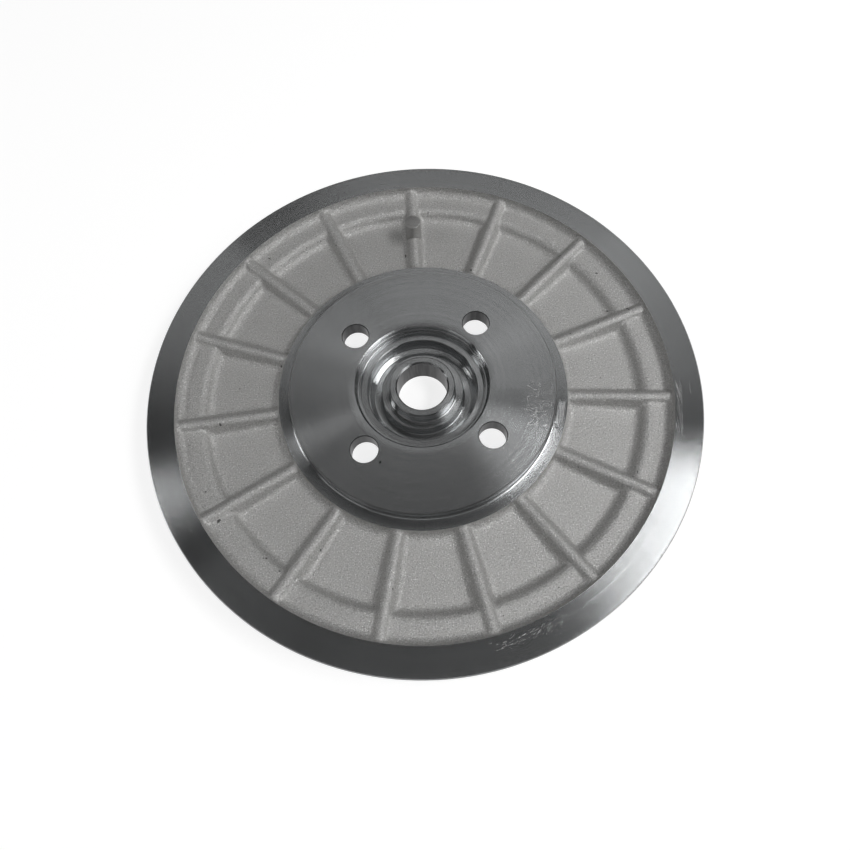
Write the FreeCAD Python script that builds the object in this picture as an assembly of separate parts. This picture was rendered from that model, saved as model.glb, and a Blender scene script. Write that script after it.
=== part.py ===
import FreeCAD, Part
import math
import os

# Turbocharger compressor back plate: one aluminium casting, with its rim,
# centre pad, centre recess and whole underside turned on a lathe.
# Millimetres. Origin at the centre of the flat underside, +Z up through the
# ribbed side, +Y through the rib that carries the locating stub.

# ---- overall ----
OUTER_RADIUS = 91.0
FACE_Z = 11.5            # turned face of the rim above the resting underside
RIM_INNER_RADIUS = 81.85
EDGE_BREAK = 0.35        # small turned chamfer on the machined edges

# ---- cast side, every drop is below the rim face ----
OUTER_FLOOR_DROP = 3.3
INNER_FLOOR_DROP = 6.7
STEP_RADIUS = 72.55      # middle of the slope between the two floors
STEP_RUN = 1.42          # radial run of that slope; its two rounds meet halfway
RIM_FOOT_ROUND = 2.9
PAD_FOOT_ROUND = 3.1
CAST_LEAN = 0.35         # lean of the cast walls over their height
CHORD_DEG = 30.0         # a cast round is laid out in chords of about this turn

# ---- ribs ----
RIB_COUNT = 15
RIB_CREST_ROUND = 2.0
RIB_DRAFT_DEG = 24.0
RIB_CREST_DROP_INNER = 2.3
RIB_CREST_DROP_OUTER = 1.6
RIB_FOOT_RISE = 0.9      # flare where a flank runs out into the floor
RIB_FOOT_RUN = 1.4
RIB_START_RADIUS = 46.0
RIB_END_RADIUS = 84.0

# ---- locating stub on the rib at +Y ----
STUB_RADIUS = 2.85
STUB_PLACE_RADIUS = 63.7
STUB_RISE = 3.0          # above the rim face

# ---- centre pad ----
PAD_RISE = 0.75
PAD_RADIUS = 44.05
PAD_CORNER = 0.75
SHOULDER_DROP = 3.0
SHOULDER_RADIUS = 48.1
SHOULDER_CUT_RADIUS = 48.9   # the facing tool also runs over the rib roots

# ---- centre recess ----
RECESS_RADIUS = 22.3
RECESS_WALL_RADIUS = 21.7
RECESS_LEAD_IN = 0.6     # depth of the chamfer at its mouth
RECESS_WALL_DROP = 1.0
RECESS_NECK_RADIUS = 21.0
RECESS_NECK_DROP = 1.5
LEDGE_OUTER_RADIUS = 20.3
LEDGE_INNER_RADIUS = 18.5
LEDGE_DROP = 2.9
LEDGE_BEVEL = 0.25
LOWER_WALL_RADIUS = 17.9
LOWER_STEP_DROP = 7.4
RECESS_FLOOR_RADIUS = 16.4
RECESS_FLOOR_DROP = 8.9

# ---- hub ----
COLLAR_RADIUS = 13.8
COLLAR_DROP = 5.2
COLLAR_LEAN = 0.2
COLLAR_CHAMFER = 0.3
HUB_RADIUS = 10.9
HUB_DROP = 0.8
BORE_RADIUS = 8.4
BORE_TOP_CHAMFER = 0.5
BORE_BOTTOM_CHAMFER = 0.8

# ---- bolt holes ----
BOLT_COUNT = 4
BOLT_CIRCLE_RADIUS = 29.1
BOLT_HOLE_RADIUS = 4.5
BOLT_START_DEG = 48.0
DRILL_OVERRUN = 1.0      # how far the drill passes each face

# ---- turned underside ----
FLANGE_THICKNESS = 5.0
REGISTER_RADIUS = 86.0
OUTER_BACK_DROP = 8.2    # underside below the shallow floor
BACK_STEP_RADIUS = 73.5
BACK_STEP_RUN = 1.6
GROOVE_INNER_RADIUS = 22.0   # ring groove that takes the bolt heads
GROOVE_OUTER_RADIUS = 36.6
GROOVE_ROOF_DROP = 5.0

ORIGIN = FreeCAD.Vector(0, 0, 0)
AXIS = FreeCAD.Vector(0, 0, 1)


def round_off(before, corner, after, radius):
    """Points of a round of this radius where two straight walls meet."""
    back = (before - corner).normalize()
    ahead = (after - corner).normalize()
    half_angle = back.getAngle(ahead) / 2
    turn = math.pi - 2 * half_angle
    steps = max(1, round(math.degrees(turn) / CHORD_DEG))
    centre = corner + (back + ahead).normalize() * (radius / math.sin(half_angle))
    first = corner + back * (radius / math.tan(half_angle)) - centre
    side = (back.cross(ahead)).normalize() * -1
    points = []
    for i in range(steps + 1):
        swing = FreeCAD.Rotation(side, math.degrees(turn) * i / steps)
        points.append(centre + swing.multVec(first))
    return points


def outline(corners):
    """Closed wire in the XZ plane; a corner is (radius, z) or (radius, z, round)."""
    points = [FreeCAD.Vector(corner[0], 0, corner[1]) for corner in corners]
    path = []
    for i, corner in enumerate(corners):
        if len(corner) == 2:
            path.append(points[i])
        else:
            following = points[(i + 1) % len(points)]
            path += round_off(points[i - 1], points[i], following, corner[2])
    path = [point for i, point in enumerate(path) if not point.isEqual(path[i - 1], 0.01)]
    return Part.makePolygon(path + path[:1])


def turned(corners):
    """Solid of revolution about Z from a half section."""
    return Part.Face(outline(corners)).revolve(ORIGIN, AXIS, 360)


def around(shape, count, start_deg=0.0):
    """Copies of a shape, evenly spaced about Z."""
    copies = []
    for i in range(count):
        copy = shape.copy()
        copy.rotate(ORIGIN, AXIS, start_deg + i * 360 / count)
        copies.append(copy)
    return copies


def plain_plate():
    """The plate without ribs or holes: cast floors above, turned elsewhere."""
    outer_floor = FACE_Z - OUTER_FLOOR_DROP
    inner_floor = FACE_Z - INNER_FLOOR_DROP
    shoulder = FACE_Z - SHOULDER_DROP
    pad = FACE_Z + PAD_RISE
    ledge = FACE_Z - LEDGE_DROP
    lower_step = FACE_Z - LOWER_STEP_DROP
    recess_floor = FACE_Z - RECESS_FLOOR_DROP
    collar = FACE_Z - COLLAR_DROP
    hub = FACE_Z - HUB_DROP
    flange_back = FACE_Z - FLANGE_THICKNESS
    outer_back = FACE_Z - OUTER_BACK_DROP
    groove_roof = FACE_Z - GROOVE_ROOF_DROP
    edge = EDGE_BREAK
    rim = [
        (OUTER_RADIUS, flange_back),
        (OUTER_RADIUS, FACE_Z - edge),
        (OUTER_RADIUS - edge, FACE_Z),
        (RIM_INNER_RADIUS, FACE_Z),
    ]
    fall = outer_floor - inner_floor
    step_turn = math.atan2(fall, STEP_RUN)
    step_round = math.hypot(fall, STEP_RUN) / 2 / math.tan(step_turn / 2)
    floors = [
        (RIM_INNER_RADIUS - CAST_LEAN, outer_floor, RIM_FOOT_ROUND),
        (STEP_RADIUS + STEP_RUN / 2, outer_floor, step_round),
        (STEP_RADIUS - STEP_RUN / 2, inner_floor, step_round),
        (SHOULDER_RADIUS + CAST_LEAN, inner_floor, PAD_FOOT_ROUND),
    ]
    pad_side = [
        (SHOULDER_RADIUS, shoulder),
        (PAD_RADIUS + PAD_CORNER, shoulder),
        (PAD_RADIUS, shoulder + PAD_CORNER),
        (PAD_RADIUS, pad - edge),
        (PAD_RADIUS - edge, pad),
    ]
    recess = [
        (RECESS_RADIUS, pad),
        (RECESS_WALL_RADIUS, pad - RECESS_LEAD_IN),
        (RECESS_WALL_RADIUS, FACE_Z - RECESS_WALL_DROP),
        (RECESS_NECK_RADIUS, FACE_Z - RECESS_NECK_DROP),
        (LEDGE_OUTER_RADIUS, ledge),
        (LEDGE_INNER_RADIUS, ledge),
        (LEDGE_INNER_RADIUS - LEDGE_BEVEL, ledge - LEDGE_BEVEL),
        (LEDGE_INNER_RADIUS - LEDGE_BEVEL, lower_step),
        (LOWER_WALL_RADIUS, lower_step),
        (RECESS_FLOOR_RADIUS, recess_floor),
    ]
    hub_side = [
        (COLLAR_RADIUS + COLLAR_LEAN, recess_floor),
        (COLLAR_RADIUS, collar - COLLAR_CHAMFER),
        (COLLAR_RADIUS - COLLAR_CHAMFER, collar),
        (HUB_RADIUS, collar),
        (HUB_RADIUS, hub - edge),
        (HUB_RADIUS - edge, hub),
        (BORE_RADIUS + BORE_TOP_CHAMFER, hub),
        (BORE_RADIUS, hub - BORE_TOP_CHAMFER),
        (BORE_RADIUS, BORE_BOTTOM_CHAMFER),
        (BORE_RADIUS + BORE_BOTTOM_CHAMFER, 0),
    ]
    underside = [
        (GROOVE_INNER_RADIUS, 0),
        (GROOVE_INNER_RADIUS, groove_roof),
        (GROOVE_OUTER_RADIUS, groove_roof),
        (GROOVE_OUTER_RADIUS, 0),
        (BACK_STEP_RADIUS - BACK_STEP_RUN, 0),
        (BACK_STEP_RADIUS, outer_back),
        (REGISTER_RADIUS, outer_back),
        (REGISTER_RADIUS, flange_back),
    ]
    return turned(rim + floors + pad_side + recess + hub_side + underside)


def rib_bar(start_radius, floor_z):
    """Straight bar along +Y: bullnose crest, drafted flanks, flared foot."""
    fall = RIB_CREST_DROP_INNER - RIB_CREST_DROP_OUTER
    slope = math.atan2(fall, RIB_END_RADIUS - RIB_START_RADIUS)
    crest_z = FACE_Z - RIB_CREST_DROP_INNER
    crest_z += (start_radius - RIB_START_RADIUS) * math.tan(slope)
    draft = math.radians(RIB_DRAFT_DEG)
    side_x = RIB_CREST_ROUND * math.cos(draft)
    side_z = crest_z - RIB_CREST_ROUND * (1 - math.sin(draft))
    knee_z = min(floor_z + RIB_FOOT_RISE, side_z)
    knee_x = side_x + (side_z - knee_z) * math.tan(draft)
    toe_x = knee_x + RIB_FOOT_RUN
    buried_z = floor_z - RIB_FOOT_RISE
    right = [(toe_x, floor_z), (toe_x, buried_z)]
    if knee_z < side_z:
        right.insert(0, (knee_x, knee_z))
    right.insert(0, (side_x, side_z))
    path = [FreeCAD.Vector(x, 0, z) for x, z in right]
    path += [FreeCAD.Vector(-x, 0, z) for x, z in reversed(right)]
    crest = FreeCAD.Vector(0, 0, crest_z)
    arc = Part.Arc(path[-1], crest, path[0]).toShape()
    section = Part.Face(Part.Wire(Part.makePolygon(path).Edges + [arc]))
    section.translate(FreeCAD.Vector(0, start_radius, 0))
    bar = section.extrude(FreeCAD.Vector(0, RIB_END_RADIUS - start_radius, 0))
    pivot = FreeCAD.Vector(0, start_radius, crest_z)
    bar.rotate(pivot, FreeCAD.Vector(1, 0, 0), math.degrees(slope))
    return bar


def ribs():
    """All ribs, faced down over their roots where the pad is turned."""
    deep = rib_bar(RIB_START_RADIUS, FACE_Z - INNER_FLOOR_DROP)
    shallow = rib_bar(STEP_RADIUS + STEP_RUN, FACE_Z - OUTER_FLOOR_DROP)
    facing = Part.makeCylinder(
        SHOULDER_CUT_RADIUS, STUB_RISE + SHOULDER_DROP,
        FreeCAD.Vector(0, 0, FACE_Z - SHOULDER_DROP))
    return around(deep.fuse(shallow).cut(facing), RIB_COUNT)


def bolt_drills():
    """Cutters for the bolt holes."""
    bottom = FACE_Z - GROOVE_ROOF_DROP - DRILL_OVERRUN
    height = FACE_Z + PAD_RISE + DRILL_OVERRUN - bottom
    place = FreeCAD.Vector(BOLT_CIRCLE_RADIUS, 0, bottom)
    drill = Part.makeCylinder(BOLT_HOLE_RADIUS, height, place)
    return around(drill, BOLT_COUNT, BOLT_START_DEG)


def stub():
    """Round locating stub that stands on the crest of the rib at +Y."""
    root = FACE_Z - INNER_FLOOR_DROP
    place = FreeCAD.Vector(0, STUB_PLACE_RADIUS, root)
    return Part.makeCylinder(STUB_RADIUS, FACE_Z + STUB_RISE - root, place)


def back_plate():
    plate = plain_plate().multiFuse(ribs() + [stub()])
    return plate.cut(bolt_drills()).removeSplitter()


if __name__ == "__main__":
    os.makedirs("parts", exist_ok=True)
    plate = back_plate()
    print("back_plate", plate.isValid(), len(plate.Solids), round(plate.Volume))
    plate.exportStep("parts/back_plate.step")
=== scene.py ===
import math

import bpy
import numpy as np
from mathutils import Matrix, Vector


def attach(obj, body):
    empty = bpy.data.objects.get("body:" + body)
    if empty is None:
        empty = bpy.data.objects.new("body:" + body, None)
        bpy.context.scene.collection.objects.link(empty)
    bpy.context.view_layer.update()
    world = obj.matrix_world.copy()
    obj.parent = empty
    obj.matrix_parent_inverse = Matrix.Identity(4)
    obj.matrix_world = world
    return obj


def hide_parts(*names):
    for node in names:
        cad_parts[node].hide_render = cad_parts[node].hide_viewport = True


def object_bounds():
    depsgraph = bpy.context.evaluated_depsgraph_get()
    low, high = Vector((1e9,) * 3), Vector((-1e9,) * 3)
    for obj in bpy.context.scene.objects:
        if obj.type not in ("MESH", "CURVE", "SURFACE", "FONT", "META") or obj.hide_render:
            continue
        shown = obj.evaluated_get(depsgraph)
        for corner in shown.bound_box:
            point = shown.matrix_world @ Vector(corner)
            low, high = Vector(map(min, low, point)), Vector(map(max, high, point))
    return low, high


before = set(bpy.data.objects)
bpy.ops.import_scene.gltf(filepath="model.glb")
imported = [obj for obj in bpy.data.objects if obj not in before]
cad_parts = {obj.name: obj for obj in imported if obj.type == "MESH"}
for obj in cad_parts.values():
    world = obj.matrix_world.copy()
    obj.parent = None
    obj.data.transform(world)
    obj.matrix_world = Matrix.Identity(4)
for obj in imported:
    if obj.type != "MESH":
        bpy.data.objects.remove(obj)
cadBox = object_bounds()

# The plate is laid out in millimetres, with heights from the rim face and those below it negative.
# Meshes are scaled to metres as they are made.
mm = 0.001
outerRadius = cadBox[1].x / mm

plate = {
    "faceHeight": 11.5,        # rim face above the resting underside
    "rimInner": 81.85,
    "rimEdge": 0.35,           # bevel of the outer edges of rim and pad
    "castLean": 0.35,          # how far the cast walls lean out over their height
    "outerFloor": -3.3,
    "innerFloor": -6.7,
    "rimFootRound": 3.0,
    "stepRadius": 72.55,
    "stepRun": 1.42,
    "padFootRound": 3.1,
    "shoulder": -3.0,
    "shoulderRadius": 48.1,
    "shoulderCut": 48.9,       # the facing tool also ran over the rib roots, out to here
    "padRadius": 44.05,
    "padRise": 0.75,
    "boreRadius": 8.4,
    "boltCircle": 29.1,
    "boltRadius": 4.5,
    "boltCount": 4,
    "boltStart": 48.0,
    "weldDistance": 0.004,     # the bays' edges are merged within this
    "sharpAngle": 32.0,
}

recess = {
    "mouth": 22.3,
    "wall": 21.7,
    "ledge": 20.9,
    "shelf": 18.5,
    "shelfHeight": -2.9,
    "well": 18.25,
    "wellFoot": -7.4,
    "floor": -8.9,
    "floorOuter": 16.4,
    "hubFoot": 13.8,
    "hubStep": -5.2,
    "hubRadius": 10.9,
    "hubTop": -0.8,
}

underside = {
    "boreEdge": 9.2,
    "grooveInner": 22.0,
    "grooveOuter": 36.6,
    "grooveRoof": -5.0,
    "grooveRound": 0.9,
    "padEdge": 71.6,
    "registerInner": 73.8,
    "registerOuter": 86.0,
    "registerHeight": -8.2,
    "flangeBack": -5.0,
    "bevel": 0.3,
}

rib = {
    "count": 15,
    "crestRound": 2.0,
    "draft": 24.0,
    "crestInner": -3.6,        # crest height at crestFrom
    "crestOuter": -1.2,        # and at crestTo
    "crestFrom": 48.0,
    "crestTo": 84.0,
    "footBlendInner": 1.2,
    "footBlendOuter": 0.8,
    "blendReach": 5.2,         # width over which one foot blend becomes the other
}

# steps of the bay's mesh, and the radii of its rows beside those at the section's own points
bayMesh = {
    "crestSteps": 6,
    "flankSteps": 2,
    "footSteps": 8,
    "openSteps": 5,
    "footCrowding": 1.5,       # lines stand closer near the flank
    "leastFlank": 0.86,        # share of the crest's half width where a foot may start
    "leastGap": 0.05,
    "halvings": 26,
    "endRows": [82.0 - 0.3 * i for i in range(1, 12)],
    "outerRows": [77.5, 76.3],
    "innerRows": [69.0, 67.0, 64.5, 61.0, 57.5, 55.0, 53.0],
    "cutRow": 0.02,            # rows this far either side of the shoulder's cut
    "rowGap": 0.12,            # a row nearer than this to another is left out
}

stub = {
    "radius": 2.85,
    "place": 63.7,
    "rise": 3.0,
    "edgeRound": 0.25,
    "footFlare": 1.0,
    "skirt": 1.6,              # the flared foot is this much wider than the stub
    "sunk": 1.0,               # and goes this far into the floor
    "segments": 64,
}

drill = {
    "clear": 1.0,              # the cutter stands this far above the pad
    "chamfer": 0.2,
    "foot": 5.0,               # cutter's end above the floor, in the open groove
    "segments": 64,
}


def arcPoints(before, corner, after, radius, steps):
    # round of this radius between two straight walls
    corner = Vector(corner)
    back = (Vector(before) - corner).normalized()
    ahead = (Vector(after) - corner).normalized()
    half = back.angle(ahead) / 2
    centre = corner + (back + ahead).normalized() * radius / math.sin(half)
    start = corner + back * radius / math.tan(half) - centre
    turn = math.pi - 2 * half
    if back.x * ahead.y - back.y * ahead.x > 0:
        turn = -turn
    return [centre + Matrix.Rotation(turn * i / steps, 2) @ start for i in range(steps + 1)]


def sectionPath(corners):
    # open path; a corner is (radius, height) or (radius, height, round, steps)
    path = []
    for i, corner in enumerate(corners):
        if len(corner) == 2:
            path.append(Vector(corner))
        else:
            path += arcPoints(corners[i - 1][:2], corner[:2], corners[i + 1][:2], corner[2], corner[3])
    return [point for i, point in enumerate(path) if i == 0 or (point - path[i - 1]).length > 0.01]


def stepRound():
    # the two rounds of the step meet halfway down it
    fall = plate["outerFloor"] - plate["innerFloor"]
    turn = math.atan2(fall, plate["stepRun"])
    return math.hypot(fall, plate["stepRun"]) / 2 / math.tan(turn / 2)


def floorSection():
    # cast side, from the rim's inner edge down and in to the shoulder's edge
    half = plate["stepRun"] / 2
    return sectionPath([
        (plate["rimInner"], 0),
        (plate["rimInner"] - plate["castLean"], plate["outerFloor"], plate["rimFootRound"], 12),
        (plate["stepRadius"] + half, plate["outerFloor"], stepRound(), 8),
        (plate["stepRadius"] - half, plate["innerFloor"], stepRound(), 8),
        (plate["shoulderRadius"] + plate["castLean"], plate["innerFloor"], plate["padFootRound"], 10),
        (plate["shoulderRadius"], plate["shoulder"]),
    ])


def centreSection():
    # turned side, from the shoulder in to the bore and down through it; here and in the underside,
    # points in the middle of a flat only give it more mesh rows
    pad = plate["padRise"]
    edge = plate["rimEdge"]
    bore = plate["boreRadius"]
    under = -plate["faceHeight"]
    padFace = [(radius, pad) for radius in (41.0, 37.5, 34.0, 29.0, 24.8)]
    ledges = [
        (recess["mouth"], pad, 0.12, 2),
        (recess["wall"] + 0.05, pad - 0.55),
        (recess["wall"], -0.95),
        (recess["wall"] - 0.25, -1.2),
        (recess["ledge"] + 0.1, -1.25),
        (recess["ledge"], -1.7),
        (recess["ledge"] - 0.3, -1.8),
        (recess["ledge"] - 0.6, recess["shelfHeight"]),
        (recess["shelf"], recess["shelfHeight"]),
    ]
    well = [
        (recess["well"], recess["shelfHeight"] - 0.25),
        (recess["well"], recess["wellFoot"]),
        (recess["well"] - 0.35, recess["wellFoot"] - 0.05),
        (recess["well"] - 0.4, recess["wellFoot"] - 0.6),
        (recess["floorOuter"], recess["floor"], 0.8, 4),
        (recess["hubFoot"] + 0.2, recess["floor"], 0.4, 3),
    ]
    hub = [
        (recess["hubFoot"], recess["hubStep"] - 0.25),
        (recess["hubFoot"] - 0.25, recess["hubStep"]),
        (recess["hubRadius"] + 0.2, recess["hubStep"], 0.3, 3),
        (recess["hubRadius"], recess["hubTop"] - 0.35),
        (recess["hubRadius"] - 0.35, recess["hubTop"]),
        (bore + 0.5, recess["hubTop"]),
        (bore, recess["hubTop"] - 0.5),
        (bore, -6.0),
        (bore, under + 0.8),
        (underside["boreEdge"], under),
    ]
    return sectionPath([
        (plate["shoulderRadius"], plate["shoulder"]),
        (plate["padRadius"], plate["shoulder"], 0.75, 4),
        (plate["padRadius"], pad - edge),
        (plate["padRadius"] - edge, pad),
    ] + padFace + ledges + well + hub)


def undersideSection():
    # turned underside, from the bore out to the rim's edge and over it
    under = -plate["faceHeight"]
    bevel = underside["bevel"]
    edge = plate["rimEdge"]
    roof, roofRound = underside["grooveRoof"], underside["grooveRound"]
    grooveInner, grooveOuter = underside["grooveInner"], underside["grooveOuter"]
    back, flange = underside["registerHeight"], underside["flangeBack"]
    registerInner, registerOuter = underside["registerInner"], underside["registerOuter"]
    groove = [
        (grooveInner - bevel, under), (grooveInner, under + bevel),
        (grooveInner, roof, roofRound, 4), (29.0, roof), (grooveOuter, roof, roofRound, 4),
        (grooveOuter, under + bevel), (grooveOuter + bevel, under),
    ]
    register = [
        (registerInner - 0.35, back - 0.2), (registerInner, back), (79.0, back),
        (registerOuter - 0.35, back), (registerOuter, back + 0.35), (registerOuter, flange),
    ]
    rim = [
        (outerRadius - bevel, flange), (outerRadius, flange + bevel), (outerRadius, flange / 2),
        (outerRadius, -edge), (outerRadius - edge, 0),
        (88.0, 0), (84.8, 0), (82.1, 0), (plate["rimInner"], 0),
    ]
    return sectionPath(
        [(underside["boreEdge"], under), (15.0, under)] + groove
        + [(48.0, under), (60.0, under), (underside["padEdge"], under)] + register + rim)


def distanceToPath(path, radius, height):
    # signed distance to the plain floor's section, positive in the open above it
    path = np.array([tuple(point) for point in path])
    a, b = path[:-1], path[1:]
    run = b - a
    offset = np.stack([radius[:, None] - a[:, 0], height[:, None] - a[:, 1]], 2)
    along = np.clip((offset * run).sum(2) / (run * run).sum(1), 0, 1)
    gap = offset - along[:, :, None] * run
    distance = np.sqrt((gap * gap).sum(2)).min(1)
    floor = np.interp(radius, path[::-1, 0], path[::-1, 1])
    return np.where(height >= floor, distance, -distance)


def crestHeight(radius):
    share = (radius - rib["crestFrom"]) / (rib["crestTo"] - rib["crestFrom"])
    return rib["crestInner"] + share * (rib["crestOuter"] - rib["crestInner"])


def distanceToRib(across, radius, height):
    # bullnose crest on drafted flanks
    draft = math.radians(rib["draft"])
    nose = rib["crestRound"]
    up = height - (crestHeight(radius) - nose)
    flank = across * math.cos(draft) + up * math.sin(draft) - nose
    onNose = up * math.cos(draft) > across * math.sin(draft)
    return np.where(onNose, np.hypot(across, up) - nose, flank)


def blended(floorGap, ribGap, blend):
    # union of floor and rib with a fillet where they meet
    corner = np.hypot(np.maximum(blend - floorGap, 0), np.maximum(blend - ribGap, 0))
    return np.where((floorGap < blend) & (ribGap < blend), blend - corner, np.minimum(floorGap, ribGap))


def shareOutside(radius):
    # 0 on the deep floor, 1 on the shallow floor
    share = np.clip((radius - plate["stepRadius"]) / rib["blendReach"] + 0.5, 0, 1)
    return share * share * (3 - 2 * share)


def footBlend(share):
    return rib["footBlendInner"] + share * (rib["footBlendOuter"] - rib["footBlendInner"])


def castHeight(section, across, radius):
    # height of the cast skin over a point, found by halving between a little under the floor and
    # a little over the rim face
    blend = footBlend(shareOutside(radius))
    low = np.full_like(radius, plate["innerFloor"] - 0.5)
    high = np.full_like(radius, 1.0)
    for i in range(bayMesh["halvings"]):
        middle = (low + high) / 2
        gap = blended(distanceToPath(section, radius, middle), distanceToRib(across, radius, middle), blend)
        low = np.where(gap < 0, middle, low)
        high = np.where(gap < 0, high, middle)
    height = np.minimum((low + high) / 2, 0)
    return np.where(radius < plate["shoulderCut"], np.minimum(height, plate["shoulder"]), height)


def ribOffsets(radius):
    # sideways places of the mesh lines over one half of a rib, crest first
    draft = math.radians(rib["draft"])
    nose = rib["crestRound"]
    share = float(shareOutside(np.array(radius)))
    floor = plate["innerFloor"] + share * (plate["outerFloor"] - plate["innerFloor"])
    blend = footBlend(share)
    crestEdge = nose * math.cos(draft)
    flankDrop = crestHeight(radius) - nose * (1 - math.sin(draft)) - floor
    foot = crestEdge + flankDrop * math.tan(draft)
    footTop = max(foot - blend * math.tan(draft), crestEdge * bayMesh["leastFlank"])
    footEnd = foot + blend / math.cos(draft)
    crestEnd = min(crestEdge, footTop - bayMesh["leastGap"])
    steps = bayMesh["crestSteps"]
    offsets = [crestEnd * math.sin(math.pi / 2 * i / steps) for i in range(steps + 1)]
    steps = bayMesh["flankSteps"]
    offsets += [crestEnd + (footTop - crestEnd) * i / steps for i in range(1, steps + 1)]
    steps = bayMesh["footSteps"]
    shares = [(i / steps) ** bayMesh["footCrowding"] for i in range(1, steps + 1)]
    offsets += [footTop + (footEnd - footTop) * share for share in shares]
    return offsets


def lineAngles(radius):
    # angles of the mesh lines across one rib and half a bay on each side of it
    held = min(max(radius, plate["shoulderRadius"]), plate["rimInner"])
    half = math.pi / rib["count"]
    near = [math.asin(offset / held) for offset in ribOffsets(held)]
    steps = bayMesh["openSteps"]
    bay = [near[-1] + (half - near[-1]) * i / steps for i in range(1, steps + 1)]
    right = near + bay
    return np.array([-angle for angle in reversed(right[1:])] + right)


def extraRows(section):
    # more mesh rows where the rib ends turn up into the rim and the pad, and along the ribs
    path = [tuple(point) for point in section]
    xs = [point[0] for point in path][::-1]
    ys = [point[1] for point in path][::-1]
    radii = [
        radius for radius in bayMesh["endRows"] + bayMesh["outerRows"] + bayMesh["innerRows"]
        if radius < xs[-1] and min(abs(radius - x) for x in xs) > bayMesh["rowGap"]
    ]
    radii += [plate["shoulderCut"] + bayMesh["cutRow"], plate["shoulderCut"] - bayMesh["cutRow"]]
    path += [(radius, float(np.interp(radius, xs, ys))) for radius in radii]
    inside = [point for point in path if xs[0] < point[0] < xs[-1]]
    return sorted(inside, reverse=True)


def makeBayMesh():
    # one closed ring sector: a rib with half a bay on each side, rim, pad, bore and underside
    floor = floorSection()
    castRows = extraRows(floor)
    rows = [(point[0], point[1], True) for point in castRows]
    loop = [tuple(point) for point in centreSection()] + [tuple(point) for point in undersideSection()[1:]]
    rows += [(point[0], point[1], False) for point in loop]
    points = []
    for radius, height, isCast in rows:
        angles = lineAngles(radius)
        heights = np.full(len(angles), height)
        if isCast:
            across = np.abs(np.sin(angles)) * radius
            heights = castHeight(floor, across, np.full(len(angles), radius))
        for angle, level in zip(angles, heights):
            points.append((
                -radius * math.sin(angle) * mm,
                radius * math.cos(angle) * mm,
                (level + plate["faceHeight"]) * mm,
            ))
    lines = len(points) // len(rows)
    faces = []
    castFaces = []
    boreFaces = []
    for i, row in enumerate(rows):
        after = (i + 1) % len(rows)
        for j in range(lines - 1):
            near = i * lines + j
            far = after * lines + j
            faces.append((near, near + 1, far + 1, far))
            castFaces.append(row[2] or rows[after][2])
            boreFaces.append(max(row[0], rows[after][0]) <= plate["boreRadius"])
    mesh = bpy.data.meshes.new("bay")
    mesh.from_pydata(points, [], faces)
    for markName, values in (("cast", castFaces), ("drilled", boreFaces)):
        mark = mesh.attributes.new(markName, "BOOLEAN", "FACE")
        mark.data.foreach_set("value", values)
    return mesh


def makeLathedMesh(name, path, segments, markName):
    # closed solid of revolution from a path that starts and ends on the axis
    points = [(0, 0, path[0][1])]
    for radius, height in path[1:-1]:
        for i in range(segments):
            turn = 2 * math.pi * i / segments
            points.append((radius * math.cos(turn), radius * math.sin(turn), height))
    points.append((0, 0, path[-1][1]))
    faces = []
    last = len(points) - 1
    rings = len(path) - 2
    for i in range(segments):
        after = (i + 1) % segments
        faces.append((0, 1 + i, 1 + after))
        for ring in range(rings - 1):
            a = 1 + ring * segments
            b = a + segments
            faces.append((a + i, b + i, b + after, a + after))
        a = 1 + (rings - 1) * segments
        faces.append((a + i, last, a + after))
    mesh = bpy.data.meshes.new(name)
    mesh.from_pydata([(x * mm, y * mm, z * mm) for x, y, z in points], [], faces)
    mark = mesh.attributes.new(markName, "BOOLEAN", "FACE")
    mark.data.foreach_set("value", [True] * len(faces))
    return mesh


def makeObject(name, data):
    made = bpy.data.objects.new(name, data)
    bpy.context.scene.collection.objects.link(made)
    return made


def socketId(tree, name):
    return next(item.identifier for item in tree.interface.items_tree if item.name == name)


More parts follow.
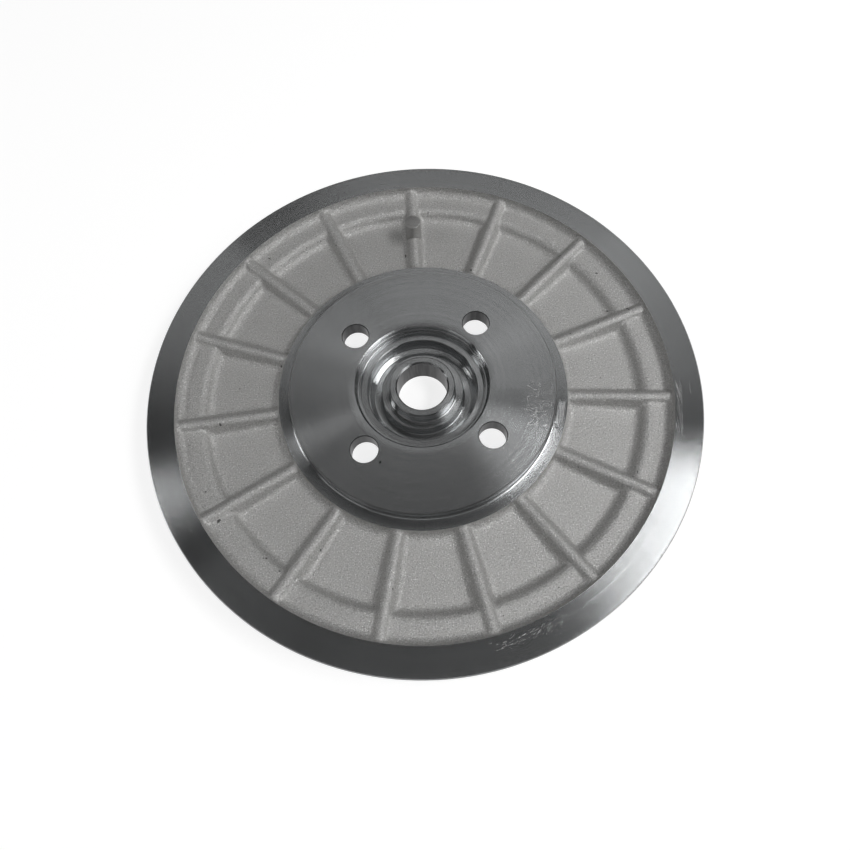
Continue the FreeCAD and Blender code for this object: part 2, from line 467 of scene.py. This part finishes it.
def makePlateTree():
    # rings the bays round Z, drills the bolt holes, adds the stub and sets the finishes by face mark
    tree = bpy.data.node_groups.new("ribbedPlate", "GeometryNodeTree")
    face = tree.interface
    for name, kind, value in (
        ("Geometry", "NodeSocketGeometry", None),
        ("Bay", "NodeSocketObject", None),
        ("Bay Count", "NodeSocketInt", rib["count"]),
        ("Stub", "NodeSocketObject", None),
        ("Stub Place", "NodeSocketFloat", 0.0),
        ("Drill", "NodeSocketObject", None),
        ("Drill Count", "NodeSocketInt", plate["boltCount"]),
        ("Drill Circle", "NodeSocketFloat", 0.0),
        ("Drill Start", "NodeSocketFloat", 0.0),
        ("Merge Distance", "NodeSocketFloat", 0.0),
        ("Turned Finish", "NodeSocketMaterial", None),
        ("Cast Finish", "NodeSocketMaterial", None),
        ("Stub Finish", "NodeSocketMaterial", None),
        ("Drilled Finish", "NodeSocketMaterial", None),
    ):
        made = face.new_socket(name, in_out="INPUT", socket_type=kind)
        if value is not None:
            made.default_value = value
    face.new_socket("Geometry", in_out="OUTPUT", socket_type="NodeSocketGeometry")
    nodes = tree.nodes
    link = tree.links.new
    given = nodes.new("NodeGroupInput").outputs

    def around(objectSocket, countSocket, radius, startSocket=None):
        # copies of an object evenly spaced about Z
        points = nodes.new("GeometryNodePoints")
        link(countSocket, points.inputs["Count"])
        index = nodes.new("GeometryNodeInputIndex")
        turn = nodes.new("ShaderNodeMath")
        turn.operation = "DIVIDE"
        turn.inputs[0].default_value = 2 * math.pi
        link(countSocket, turn.inputs[1])
        angle = nodes.new("ShaderNodeMath")
        angle.operation = "MULTIPLY_ADD"
        link(index.outputs[0], angle.inputs[0])
        link(turn.outputs[0], angle.inputs[1])
        if startSocket:
            link(startSocket, angle.inputs[2])
        else:
            angle.inputs[2].default_value = 0
        spin = nodes.new("ShaderNodeCombineXYZ")
        link(angle.outputs[0], spin.inputs["Z"])
        info = nodes.new("GeometryNodeObjectInfo")
        info.inputs["As Instance"].default_value = True
        link(objectSocket, info.inputs["Object"])
        place = nodes.new("GeometryNodeInstanceOnPoints")
        link(points.outputs[0], place.inputs["Points"])
        link(info.outputs["Geometry"], place.inputs["Instance"])
        turned = nodes.new("GeometryNodeRotateInstances")
        turned.inputs["Local Space"].default_value = False
        link(place.outputs[0], turned.inputs["Instances"])
        link(spin.outputs[0], turned.inputs["Rotation"])
        if radius is not None:
            shift = nodes.new("ShaderNodeCombineXYZ")
            link(radius, shift.inputs["X"])
            moved = nodes.new("GeometryNodeTranslateInstances")
            link(turned.outputs[0], moved.inputs["Instances"])
            link(shift.outputs[0], moved.inputs["Translation"])
            turned = moved
        real = nodes.new("GeometryNodeRealizeInstances")
        link(turned.outputs[0], real.inputs[0])
        return real.outputs[0]

    merged = nodes.new("GeometryNodeMergeByDistance")
    link(around(given["Bay"], given["Bay Count"], None), merged.inputs["Geometry"])
    link(given["Merge Distance"], merged.inputs["Distance"])
    drills = around(given["Drill"], given["Drill Count"], given["Drill Circle"], given["Drill Start"])
    drilled = nodes.new("GeometryNodeMeshBoolean")
    drilled.operation = "DIFFERENCE"
    drilled.solver = "MANIFOLD"
    link(merged.outputs[0], drilled.inputs["Mesh 1"])
    link(drills, drilled.inputs["Mesh 2"])

    stubInfo = nodes.new("GeometryNodeObjectInfo")
    link(given["Stub"], stubInfo.inputs["Object"])
    stubShift = nodes.new("ShaderNodeCombineXYZ")
    link(given["Stub Place"], stubShift.inputs["Y"])
    stubMoved = nodes.new("GeometryNodeTransform")
    link(stubInfo.outputs["Geometry"], stubMoved.inputs["Geometry"])
    link(stubShift.outputs[0], stubMoved.inputs["Translation"])
    whole = nodes.new("GeometryNodeMeshBoolean")
    whole.operation = "UNION"
    whole.solver = "MANIFOLD"
    link(drilled.outputs["Mesh"], whole.inputs["Mesh 2"])
    link(stubMoved.outputs[0], whole.inputs["Mesh 2"])

    realized = nodes.new("GeometryNodeRealizeInstances")
    link(whole.outputs["Mesh"], realized.inputs[0])
    finished = realized.outputs[0]
    # faces marked drilled get the finish whose near black is painted shade of the holes
    for label, markName in (("Turned Finish", None), ("Cast Finish", "cast"),
                            ("Stub Finish", "stubSkin"), ("Drilled Finish", "drilled")):
        painted = nodes.new("GeometryNodeSetMaterial")
        link(finished, painted.inputs["Geometry"])
        link(given[label], painted.inputs["Material"])
        if markName:
            marked = nodes.new("GeometryNodeInputNamedAttribute")
            marked.data_type = "BOOLEAN"
            marked.inputs["Name"].default_value = markName
            link(marked.outputs["Attribute"], painted.inputs["Selection"])
        finished = painted.outputs[0]
    link(finished, nodes.new("NodeGroupOutput").inputs["Geometry"])
    return tree


def newGroup(name, inputs, outputs):
    group = bpy.data.node_groups.new(name, "ShaderNodeTree")
    for label, kind, value in inputs:
        made = group.interface.new_socket(label, in_out="INPUT", socket_type=kind)
        if value is not None:
            made.default_value = value
    for label, kind in outputs:
        group.interface.new_socket(label, in_out="OUTPUT", socket_type=kind)
    return group, group.nodes.new("NodeGroupInput").outputs, group.nodes.new("NodeGroupOutput").inputs


class Wiring:
    # short ways to add nodes to one tree
    def __init__(self, tree):
        self.nodes = tree.nodes
        self.link = tree.links.new

    def feed(self, socket, value):
        if isinstance(value, bpy.types.NodeSocket):
            self.link(value, socket)
        else:
            socket.default_value = value

    def math(self, operation, a, b=0.0, c=0.0):
        node = self.nodes.new("ShaderNodeMath")
        node.operation = operation
        for socket, value in zip(node.inputs, (a, b, c)):
            self.feed(socket, value)
        return node.outputs[0]

    def between(self, value, low, high, toLow=0.0, toHigh=1.0):
        node = self.nodes.new("ShaderNodeMapRange")
        node.interpolation_type = "SMOOTHSTEP"
        for label, given in (("Value", value), ("From Min", low), ("From Max", high),
                             ("To Min", toLow), ("To Max", toHigh)):
            self.feed(node.inputs[label], given)
        return node.outputs["Result"]

    def window(self, value, low, high, soft):
        # 1 between low and high, fading to 0 over soft at each end
        edges = [self.math(side, edge, soft) for edge in (low, high) for side in ("SUBTRACT", "ADD")]
        rise = self.between(value, edges[0], edges[1])
        fall = self.between(value, edges[2], edges[3], 1.0, 0.0)
        return self.math("MULTIPLY", rise, fall)

    def noise(self, vector, scale, detail, roughness, w=None):
        # over a vector, or over the one number w
        node = self.nodes.new("ShaderNodeTexNoise")
        node.noise_dimensions = "3D" if w is None else "1D"
        if w is None:
            self.feed(node.inputs["Vector"], vector)
        else:
            self.feed(node.inputs["W"], w)
        self.feed(node.inputs["Scale"], scale)
        self.feed(node.inputs["Detail"], detail)
        self.feed(node.inputs["Roughness"], roughness)
        return node.outputs["Fac"]

    def mixColour(self, share, first, second):
        # the three kinds of Mix share their socket names, and these are the colour ones
        node = self.nodes.new("ShaderNodeMix")
        node.data_type = "RGBA"
        self.feed(node.inputs[0], share)
        self.feed(node.inputs[6], first)
        self.feed(node.inputs[7], second)
        return node.outputs[2]

    def polar(self, vector):
        # radius and height in millimetres, azimuth in degrees from +X, all from Object coordinates
        parts = self.nodes.new("ShaderNodeSeparateXYZ")
        self.feed(parts.inputs[0], vector)
        x, y, z = parts.outputs
        square = self.math("MULTIPLY_ADD", x, x, self.math("MULTIPLY", y, y))
        radius = self.math("MULTIPLY", self.math("SQRT", square), 1 / mm)
        turn = self.math("MULTIPLY", self.math("ARCTAN2", y, x), 180 / math.pi)
        azimuth = self.math("FLOORED_MODULO", turn, 360.0)
        return radius, azimuth, self.math("MULTIPLY", z, 1 / mm)

    def stretched(self, vector, scale, rotation=(0, 0, 0)):
        node = self.nodes.new("ShaderNodeMapping")
        node.inputs["Rotation"].default_value = rotation
        node.inputs["Scale"].default_value = scale
        self.feed(node.inputs["Vector"], vector)
        return node.outputs["Vector"]


grain = {
    "speckScale": 2300.0,      # shot grain, cells per metre
    "coarseScale": 900.0,
    "poreScale": 420.0,
    "fineShare": 0.7,
    "coarseShare": 0.4,
    "light": (0.54, 0.70),     # noise levels between which a speck or pore sets in
    "dark": (0.46, 0.30),
    "pore": (0.235, 0.2),
}

castLook = {
    "colour": (0.64, 0.637, 0.628, 1),
    "darkSpeck": (0.38, 0.377, 0.37, 1),
    "lightSpeck": (0.87, 0.867, 0.86, 1),
    "pore": (0.16, 0.158, 0.155, 1),
    "darkShare": 0.8,
    "roughLow": 0.42,
    "roughHigh": 0.66,
    "bump": 0.00042,
}

stubLook = {
    "colour": (0.50, 0.497, 0.49, 1),
    "darkSpeck": (0.30, 0.297, 0.29, 1),
    "speckScale": 2400.0,
    "strokeLength": 240.0,     # strokes across the top, cells per metre
    "strokeWidth": 1500.0,
    "strokeTurn": -12.0,
    "strokes": (0.44, 0.30),
    "darkShare": 0.7,
    "grainShare": 0.5,
    "roughness": 0.5,
    "bump": 0.00012,
}

# near black tones of the bore and bolt-hole walls: painted shade of the holes, with the walls' own tool
# streaks over it
drilledShadeLook = {
    "colour": (0.06, 0.06, 0.061, 1),
    "dark": (0.03, 0.03, 0.031, 1),
    "streaks": 900.0,          # cells per metre round the wall, and down it
    "along": 60.0,
    "streak": (0.35, 0.65),
    "roughness": 0.35,
}

turnedLook = {
    "colour": (0.52, 0.53, 0.535, 1),
    "dark": (0.45, 0.46, 0.465, 1),
    "scuff": (0.95, 0.95, 0.95, 1),
    "pit": (0.10, 0.10, 0.10, 1),
    "groove": (0.3, 0.7),
    "grooveScale": 9.0,        # cells per millimetre
    "bandScale": 0.9,
    "heightShare": 0.83,       # how much a rise counts against a run along the turned section
    "roughness": 0.19,
    "bandRoughness": 0.06,
    "scuffRoughness": 0.55,
    "scuffMetallic": 0.25,
    "scuffTop": (-4.0, -3.4),  # scuffs lie above this height only
    "anisotropy": 1.0,
    "anisotropyTurn": 0.25,    # a quarter turn, so that the lathe lines run round
    "bump": 0.000014,
    "scuffBump": 0.000018,
}

scuffLook = {
    "soft": 0.6,               # edge of a patch, millimetres
    "softTurn": 3.0,           # and in degrees
    "slant": 0.45,
    "rarest": 0.86,            # noise level of a nick where the share is 0
    "edge": 0.06,
}

scuffs = (
    # radius from and to, azimuth from and to, cells per millimetre round and outward, and a share
    # from 0.2 with a few nicks to 0.4 with many
    (82.2, 84.6, 343.0, 358.0, 2.6, 0.55, 0.31),
    (81.9, 82.6, 341.0, 350.0, 1.2, 1.20, 0.38),
    (86.4, 87.4, 352.5, 358.5, 1.6, 1.60, 0.30),
    (82.5, 86.5, 279.0, 300.0, 1.8, 1.80, 0.23),
    (44.8, 47.6, 339.0, 352.0, 1.7, 0.45, 0.36),
)

scribbleLook = {
    "soft": 1.5,
    "softTurn": 4.0,
}

scribbles = (
    # radius from and to, azimuth from and to, cells per metre, line width, share
    (34.5, 43.8, 341.0, 357.0, 900.0, 0.06, 0.40),
    (33.0, 43.8, 330.0, 359.0, 190.0, 0.008, 0.55),
    (22.8, 27.5, 284.0, 302.0, 700.0, 0.05, 0.35),
)

pit = {
    "radius": 30.0,
    "azimuth": 241.0,
    "size": 0.45,
    "core": 0.27,
}


def makeGrainGroup():
    # fine shot grain: height, light and dark speck masks and rare pores
    group, given, out = newGroup("castGrain", (
        ("Vector", "NodeSocketVector", None),
        ("Speck Scale", "NodeSocketFloat", grain["speckScale"]),
        ("Coarse Scale", "NodeSocketFloat", grain["coarseScale"]),
        ("Pore Scale", "NodeSocketFloat", grain["poreScale"]),
    ), (("Height", "NodeSocketFloat"), ("Light", "NodeSocketFloat"), ("Dark", "NodeSocketFloat"),
        ("Pore", "NodeSocketFloat")))
    wires = Wiring(group)
    fine = wires.noise(given["Vector"], given["Speck Scale"], 2.0, 0.6)
    coarse = wires.noise(given["Vector"], given["Coarse Scale"], 3.0, 0.6)
    pores = wires.noise(given["Vector"], given["Pore Scale"], 1.0, 0.5)
    low = wires.math("MULTIPLY", coarse, grain["coarseShare"])
    wires.feed(out["Height"], wires.math("MULTIPLY_ADD", fine, grain["fineShare"], low))
    wires.feed(out["Light"], wires.between(fine, *grain["light"]))
    wires.feed(out["Dark"], wires.between(fine, *grain["dark"]))
    wires.feed(out["Pore"], wires.between(pores, *grain["pore"]))
    return group


def makeTurningGroup():
    # lathe lines: fine grooves and slow bands that follow the radius and, on walls, the height
    group, given, out = newGroup("turningLines", (
        ("Radius", "NodeSocketFloat", 0.0),
        ("Height", "NodeSocketFloat", 0.0),
    ), (("Groove", "NodeSocketFloat"), ("Band", "NodeSocketFloat")))
    wires = Wiring(group)
    along = wires.math("MULTIPLY_ADD", given["Height"], turnedLook["heightShare"], given["Radius"])
    wires.feed(out["Groove"], wires.noise(None, turnedLook["grooveScale"], 2.0, 0.7, w=along))
    wires.feed(out["Band"], wires.noise(None, turnedLook["bandScale"], 3.0, 0.6, w=along))
    return group


patchSockets = tuple(
    (label, "NodeSocketFloat", 0.0)
    for label in ("Radius", "Azimuth", "Radius From", "Radius To", "Azimuth From", "Azimuth To"))


def insidePatch(wires, given, look):
    # 1 inside a patch's radii and azimuths, fading to 0 at its edges
    radii = (given["Radius From"], given["Radius To"], look["soft"])
    turns = (given["Azimuth From"], given["Azimuth To"], look["softTurn"])
    across = wires.window(given["Radius"], *radii)
    return wires.math("MULTIPLY", across, wires.window(given["Azimuth"], *turns))


def makeScuffGroup():
    # short nicks inside one patch of a turned face
    group, given, out = newGroup("scuffPatch", patchSockets + (
        ("Round", "NodeSocketFloat", 1.0),
        ("Outward", "NodeSocketFloat", 1.0),
        ("Share", "NodeSocketFloat", 0.4),
    ), (("Mask", "NodeSocketFloat"),))
    wires = Wiring(group)
    turn = wires.math("MULTIPLY", given["Azimuth"], math.pi / 180)
    arc = wires.math("MULTIPLY", turn, given["Radius"])
    slant = wires.math("MULTIPLY_ADD", given["Radius"], scuffLook["slant"], arc)
    place = wires.nodes.new("ShaderNodeCombineXYZ")
    wires.feed(place.inputs["X"], wires.math("MULTIPLY", slant, given["Round"]))
    wires.feed(place.inputs["Y"], wires.math("MULTIPLY", given["Radius"], given["Outward"]))
    nicks = wires.noise(place.outputs[0], 1.0, 3.0, 0.6)
    level = wires.math("MULTIPLY", given["Share"], insidePatch(wires, given, scuffLook))
    edge = wires.math("SUBTRACT", scuffLook["rarest"], level)
    wires.feed(out["Mask"], wires.between(nicks, edge, wires.math("ADD", edge, scuffLook["edge"])))
    return group


def makeScribbleGroup():
    # thin wandering scratches inside one patch
    group, given, out = newGroup("scribblePatch", patchSockets + (
        ("Vector", "NodeSocketVector", None),
        ("Scale", "NodeSocketFloat", 300.0),
        ("Width", "NodeSocketFloat", 0.02),
        ("Share", "NodeSocketFloat", 0.5),
    ), (("Mask", "NodeSocketFloat"),))
    wires = Wiring(group)
    wander = wires.noise(given["Vector"], given["Scale"], 2.0, 0.5)
    off = wires.math("ABSOLUTE", wires.math("SUBTRACT", wander, 0.5))
    line = wires.between(off, given["Width"], 0.0)
    level = wires.math("MULTIPLY", given["Share"], insidePatch(wires, given, scribbleLook))
    wires.feed(out["Mask"], wires.math("MULTIPLY", level, line))
    return group


def startMaterial(name):
    # new material with its wiring, its shader and its Object coordinates
    made = bpy.data.materials.new(name)
    made.use_nodes = True
    wires = Wiring(made.node_tree)
    shader = made.node_tree.nodes["Principled BSDF"]
    where = wires.nodes.new("ShaderNodeTexCoord").outputs["Object"]
    return made, wires, shader, where


def addGroup(wires, group, **values):
    node = wires.nodes.new("ShaderNodeGroup")
    node.node_tree = group
    for label, value in values.items():
        wires.feed(node.inputs[label], value)
    return node.outputs


def addPatches(wires, worn, group, places, labels, **shared):
    # one group for each place, with the place's values on its sockets by label
    ends = ("Radius From", "Radius To", "Azimuth From", "Azimuth To")
    for place in places:
        values = dict(zip(ends + labels, place))
        mask = addGroup(wires, group, **shared, **values)["Mask"]
        worn = wires.math("MAXIMUM", worn, mask)
    return worn


def addBump(wires, height, distance):
    bump = wires.nodes.new("ShaderNodeBump")
    bump.inputs["Strength"].default_value = 1.0
    bump.inputs["Distance"].default_value = distance
    wires.feed(bump.inputs["Height"], height)
    return bump.outputs["Normal"]


def makeCastFinish(grainGroup):
    # shot-blasted cast skin
    made, wires, shader, where = startMaterial("castSkin")
    skin = addGroup(wires, grainGroup, Vector=where)
    base = wires.mixColour(skin["Light"], castLook["colour"], castLook["lightSpeck"])
    dark = wires.math("MULTIPLY", skin["Dark"], castLook["darkShare"])
    base = wires.mixColour(dark, base, castLook["darkSpeck"])
    base = wires.mixColour(skin["Pore"], base, castLook["pore"])
    wires.feed(shader.inputs["Base Color"], base)
    rough = wires.between(skin["Light"], 0, 1, castLook["roughHigh"], castLook["roughLow"])
    wires.feed(shader.inputs["Roughness"], rough)
    wires.feed(shader.inputs["Normal"], addBump(wires, skin["Height"], castLook["bump"]))
    shader.inputs["Metallic"].default_value = 1.0
    return made


def makeStubFinish(grainGroup):
    # finer cast skin with rough strokes across it
    made, wires, shader, where = startMaterial("stubSkin")
    skin = addGroup(wires, grainGroup, **{"Vector": where, "Speck Scale": stubLook["speckScale"]})
    scale = (stubLook["strokeLength"], stubLook["strokeWidth"], stubLook["strokeLength"])
    turned = (0, 0, math.radians(stubLook["strokeTurn"]))
    strokes = wires.noise(wires.stretched(where, scale, turned), 1.0, 3.0, 0.6)
    dark = wires.math("MULTIPLY", skin["Dark"], stubLook["darkShare"])
    dark = wires.math("MAXIMUM", wires.between(strokes, *stubLook["strokes"]), dark)
    base = wires.mixColour(dark, stubLook["colour"], stubLook["darkSpeck"])
    wires.feed(shader.inputs["Base Color"], base)
    shader.inputs["Roughness"].default_value = stubLook["roughness"]
    height = wires.math("MULTIPLY_ADD", skin["Height"], stubLook["grainShare"], strokes)
    wires.feed(shader.inputs["Normal"], addBump(wires, height, stubLook["bump"]))
    shader.inputs["Metallic"].default_value = 1.0
    return made


def makePitMask(wires, where):
    # one small pit in the pad
    turn = math.radians(pit["azimuth"])
    centre = Vector((pit["radius"] * math.cos(turn), pit["radius"] * math.sin(turn),
                     plate["faceHeight"] + plate["padRise"]))
    off = wires.nodes.new("ShaderNodeVectorMath")
    off.operation = "DISTANCE"
    wires.feed(off.inputs[0], where)
    off.inputs[1].default_value = centre * mm
    return wires.between(off.outputs["Value"], pit["size"] * mm, pit["core"] * mm)


def makeTurnedFinish(turningGroup, scuffGroup, scribbleGroup):
    # lathe-turned metal whose sheen fans out round the axis, with scuffs and scratches on its top
    made, wires, shader, where = startMaterial("turnedFace")
    radius, azimuth, height = wires.polar(where)
    lines = addGroup(wires, turningGroup, Radius=radius, Height=height)
    place = {"Radius": radius, "Azimuth": azimuth}
    worn = addPatches(wires, 0.0, scuffGroup, scuffs, ("Round", "Outward", "Share"), **place)
    place["Vector"] = where
    worn = addPatches(wires, worn, scribbleGroup, scribbles, ("Scale", "Width", "Share"), **place)
    top = [plate["faceHeight"] + level for level in turnedLook["scuffTop"]]
    worn = wires.math("MULTIPLY", worn, wires.between(height, *top))
    groove = wires.between(lines["Groove"], *turnedLook["groove"])
    base = wires.mixColour(groove, turnedLook["dark"], turnedLook["colour"])
    base = wires.mixColour(worn, base, turnedLook["scuff"])
    base = wires.mixColour(makePitMask(wires, where), base, turnedLook["pit"])
    wires.feed(shader.inputs["Base Color"], base)
    rough = wires.math("MULTIPLY_ADD", lines["Band"], turnedLook["bandRoughness"], turnedLook["roughness"])
    scuffed = wires.math("MULTIPLY", worn, turnedLook["scuffRoughness"])
    wires.feed(shader.inputs["Roughness"], wires.math("MAXIMUM", rough, scuffed))
    raised = turnedLook["scuffBump"] / turnedLook["bump"]
    relief = wires.math("MULTIPLY_ADD", worn, raised, lines["Groove"])
    wires.feed(shader.inputs["Normal"], addBump(wires, relief, turnedLook["bump"]))
    metallic = wires.between(worn, 0, 1, 1.0, turnedLook["scuffMetallic"])
    wires.feed(shader.inputs["Metallic"], metallic)
    shader.inputs["Anisotropic"].default_value = turnedLook["anisotropy"]
    shader.inputs["Anisotropic Rotation"].default_value = turnedLook["anisotropyTurn"]
    tangent = wires.nodes.new("ShaderNodeTangent")
    tangent.direction_type = "RADIAL"
    tangent.axis = "Z"
    wires.feed(shader.inputs["Tangent"], tangent.outputs[0])
    return made


def makeDrilledShadeFinish():
    # bored walls with faint tool streaks down them, in a near black that is painted shade for the bore and
    # bolt holes
    made, wires, shader, where = startMaterial("drilledWallShade")
    scale = (drilledShadeLook["streaks"], drilledShadeLook["streaks"], drilledShadeLook["along"])
    streaks = wires.noise(wires.stretched(where, scale), 1.0, 2.0, 0.6)
    streak = wires.between(streaks, *drilledShadeLook["streak"])
    base = wires.mixColour(streak, drilledShadeLook["dark"], drilledShadeLook["colour"])
    wires.feed(shader.inputs["Base Color"], base)
    shader.inputs["Roughness"].default_value = drilledShadeLook["roughness"]
    shader.inputs["Metallic"].default_value = 1.0
    return made


def makeStubMesh():
    # round stub with a flared foot, reaching into the floor
    radius = stub["radius"]
    top = stub["rise"] + plate["faceHeight"]
    root = plate["innerFloor"] + plate["faceHeight"]
    skirt = radius + stub["skirt"]
    path = sectionPath([
        (0, top),
        (radius, top, stub["edgeRound"], 4),
        (radius, root, stub["footFlare"], 6),
        (skirt, root),
        (skirt, root - stub["sunk"]),
        (0, root - stub["sunk"]),
    ])
    return makeLathedMesh("stub", [tuple(point) for point in path], stub["segments"], "stubSkin")


def makeDrillMesh():
    # cutter of one bolt hole and of the chamfer at its mouth
    radius = plate["boltRadius"]
    pad = plate["padRise"] + plate["faceHeight"]
    top = pad + drill["clear"]
    path = [
        (0, top),
        (radius + drill["chamfer"] + drill["clear"], top),
        (radius, pad - drill["chamfer"]),
        (radius, drill["foot"]),
        (0, drill["foot"]),
    ]
    return makeLathedMesh("drill", path, drill["segments"], "drilled")


def makePlate(castFinish, turnedFinish, stubFinish, drilledShadeFinish):
    # runs the tree on a spare object and keeps what it makes as one plain mesh
    bay = makeObject("bay", makeBayMesh())
    stubPiece = makeObject("stub", makeStubMesh())
    drillPiece = makeObject("drill", makeDrillMesh())
    tree = makePlateTree()
    host = makeObject("plateHost", bpy.data.meshes.new("plateHost"))
    modifier = host.modifiers.new("ribbedPlate", "NODES")
    modifier.node_group = tree
    for name, value in (
        ("Bay", bay),
        ("Bay Count", rib["count"]),
        ("Stub", stubPiece),
        ("Stub Place", stub["place"] * mm),
        ("Drill", drillPiece),
        ("Drill Count", plate["boltCount"]),
        ("Drill Circle", plate["boltCircle"] * mm),
        ("Drill Start", math.radians(plate["boltStart"])),
        ("Merge Distance", plate["weldDistance"] * mm),
        ("Turned Finish", turnedFinish),
        ("Cast Finish", castFinish),
        ("Stub Finish", stubFinish),
        ("Drilled Finish", drilledShadeFinish),
    ):
        modifier[socketId(tree, name)] = value
    graph = bpy.context.evaluated_depsgraph_get()
    mesh = bpy.data.meshes.new_from_object(host.evaluated_get(graph))
    mesh.name = "backPlate"
    for spare in (host, bay, stubPiece, drillPiece):
        bpy.data.objects.remove(spare)
    mesh.shade_smooth()
    mesh.set_sharp_from_angle(angle=math.radians(plate["sharpAngle"]))
    return makeObject("backPlate", mesh)


stage = {
    "reach": 3.0,              # metres from the middle to a side
    "floor": (0.4, 0.4, 0.4, 1),
    "roughness": 0.9,
    "floorGlow": 0.8,
    "world": 0.03,
    "backdrop": 1.0,
    "lampDistance": 0.8,
}

lamps = (
    # name, azimuth and elevation in degrees, width and height in metres, watts
    ("mainStrip", -8, 54, 0.43, 0.15, 2.2),
    ("frontWide", 330, 40, 0.40, 0.30, 0.85),
    ("frontHigh", 305, 60, 0.40, 0.30, 0.16),
    ("frontLeft", 255, 55, 0.40, 0.30, 0.20),
    ("rightFill", 40, 42, 0.40, 0.30, 0.12),
    ("backHigh", 80, 55, 0.40, 0.30, 0.24),
    ("backLeft", 130, 46, 0.26, 0.26, 0.07),
    ("leftNarrow", 174, 39, 0.14, 0.15, 0.56),
    ("leftLow", 212, 42, 0.40, 0.30, 0.28),
)

view = {
    "lens": 28.19,
    "distance": 219.74,        # millimetres from the middle of the rim face
    "elevation": 64.6026,
    "turn": 1.2,
    "yaw": -0.0306,
    "pitch": 3.4699,
    "roll": 4.6277,
}


def makeStage():
    # pale floor that keeps the shadow and looks near white to the camera and in the metal
    mesh = bpy.data.meshes.new("floor")
    reach = stage["reach"]
    corners = [(-reach, -reach, 0), (reach, -reach, 0), (reach, reach, 0), (-reach, reach, 0)]
    mesh.from_pydata(corners, [], [(0, 1, 2, 3)])
    floor = makeObject("floor", mesh)
    made, wires, shader = startMaterial("paleFloor")[:3]
    shader.inputs["Base Color"].default_value = stage["floor"]
    shader.inputs["Roughness"].default_value = stage["roughness"]
    shader.inputs["Emission Color"].default_value = (1, 1, 1, 1)
    path = wires.nodes.new("ShaderNodeLightPath").outputs
    seen = wires.math("MAXIMUM", path["Is Camera Ray"], path["Is Glossy Ray"])
    wires.feed(shader.inputs["Emission Strength"], wires.math("MULTIPLY", seen, stage["floorGlow"]))
    mesh.materials.append(made)


def makeWorld():
    # white behind everything, and only a little of it as light
    world = bpy.data.worlds.new("studio")
    bpy.context.scene.world = world
    world.use_nodes = True
    wires = Wiring(world.node_tree)
    background = wires.nodes["Background"]
    path = wires.nodes.new("ShaderNodeLightPath").outputs
    background.inputs["Color"].default_value = (1, 1, 1, 1)
    strength = wires.between(path["Is Camera Ray"], 0, 1, stage["world"], stage["backdrop"])
    wires.feed(background.inputs["Strength"], strength)


def makeLamps():
    for name, azimuth, elevation, width, height, watts in lamps:
        data = bpy.data.lights.new(name, "AREA")
        data.shape = "RECTANGLE"
        data.size = width
        data.size_y = height
        data.energy = watts
        lamp = makeObject(name, data)
        turn = Matrix.Rotation(math.radians(azimuth), 3, "Z")
        rise = math.radians(elevation)
        lamp.location = turn @ Vector((math.cos(rise), 0, math.sin(rise))) * stage["lampDistance"]
        lamp.rotation_euler = lamp.location.to_track_quat("Z", "Y").to_euler()


def makeCamera():
    # looks down at the rim face's middle, then is swung off it by yaw, pitch and roll
    data = bpy.data.cameras.new("camera")
    data.lens = view["lens"]
    data.clip_start = 0.01
    camera = makeObject("camera", data)
    tilt = math.radians(view["elevation"])
    stand = Vector((0, -math.cos(tilt), math.sin(tilt))) * view["distance"] * mm
    turn = Matrix.Rotation(math.radians(view["turn"]), 3, "Z")
    aim = turn @ Matrix.Rotation(math.pi / 2 - tilt, 3, "X")
    aim = aim @ Matrix.Rotation(-math.radians(view["yaw"]), 3, "Y")
    aim = aim @ Matrix.Rotation(-math.radians(view["pitch"]), 3, "X")
    aim = aim @ Matrix.Rotation(-math.radians(view["roll"]), 3, "Z")
    place = turn @ stand + Vector((0, 0, plate["faceHeight"] * mm))
    camera.matrix_world = Matrix.Translation(place) @ aim.to_4x4()
    bpy.context.scene.camera = camera


grainGroup = makeGrainGroup()
castFinish = makeCastFinish(grainGroup)
stubFinish = makeStubFinish(grainGroup)
turnedFinish = makeTurnedFinish(makeTurningGroup(), makeScuffGroup(), makeScribbleGroup())
drilledShadeFinish = makeDrilledShadeFinish()
print("finishes made")
piece = makePlate(castFinish, turnedFinish, stubFinish, drilledShadeFinish)
print("plate made,", len(piece.data.polygons), "faces,", len(piece.data.materials), "finishes")
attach(piece, "root")
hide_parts("back_plate")
makeStage()
makeWorld()
makeLamps()
makeCamera()
bpy.context.scene.view_settings.view_transform = "Standard"
print("stage, lamps and camera made")
